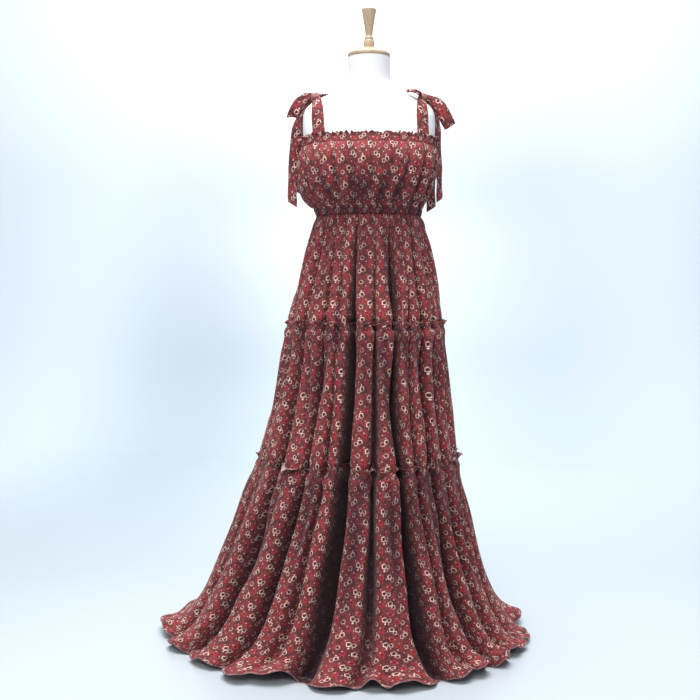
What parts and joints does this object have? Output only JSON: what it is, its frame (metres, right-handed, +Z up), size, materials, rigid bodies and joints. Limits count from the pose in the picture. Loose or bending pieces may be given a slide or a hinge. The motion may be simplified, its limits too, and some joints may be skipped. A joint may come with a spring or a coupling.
{
  "type": "camisole dress on a dress form",
  "caption": "Floor-length camisole dress with gathered bodice, tie-bow straps and tiered skirt, worn by a limbless dress form on a stand.",
  "frame": {"origin": "centre of the stand's flat underside, on the floor under the form's axis", "axes": "+Z up along the stand; -Y to the front of the dress; +X to the left side of the dress as worn"},
  "size_m": [0.9291, 0.8575, 1.5561],
  "materials": {
    "dress_cloth": "matt light woven cloth with a small flower print",
    "form_cover": "smooth white stretch cover",
    "cap_wood": "pale satin wood",
    "stand_metal": "white satin paint"
  },
  "bodies": {
    "root": {"bodice_back": "dress_cloth", "bodice_front": "dress_cloth", "form_base": "stand_metal", "form_finial": "cap_wood", "form_neck_cap": "cap_wood", "form_pole": "stand_metal", "form_torso": "form_cover", "knot_left": "dress_cloth", "knot_right": "dress_cloth", "loop_inner_left": "dress_cloth", "loop_inner_right": "dress_cloth", "loop_outer_left": "dress_cloth", "loop_outer_right": "dress_cloth", "strap_back_left": "dress_cloth", "strap_back_right": "dress_cloth", "strap_front_left": "dress_cloth", "strap_front_right": "dress_cloth", "tail_back_left": "dress_cloth", "tail_back_right": "dress_cloth", "tail_front_left": "dress_cloth", "tail_front_right": "dress_cloth", "tier1_back": "dress_cloth", "tier1_front": "dress_cloth", "tier2_back": "dress_cloth", "tier2_front": "dress_cloth", "tier3_back": "dress_cloth", "tier3_front": "dress_cloth"}
  },
  "joints": []
}
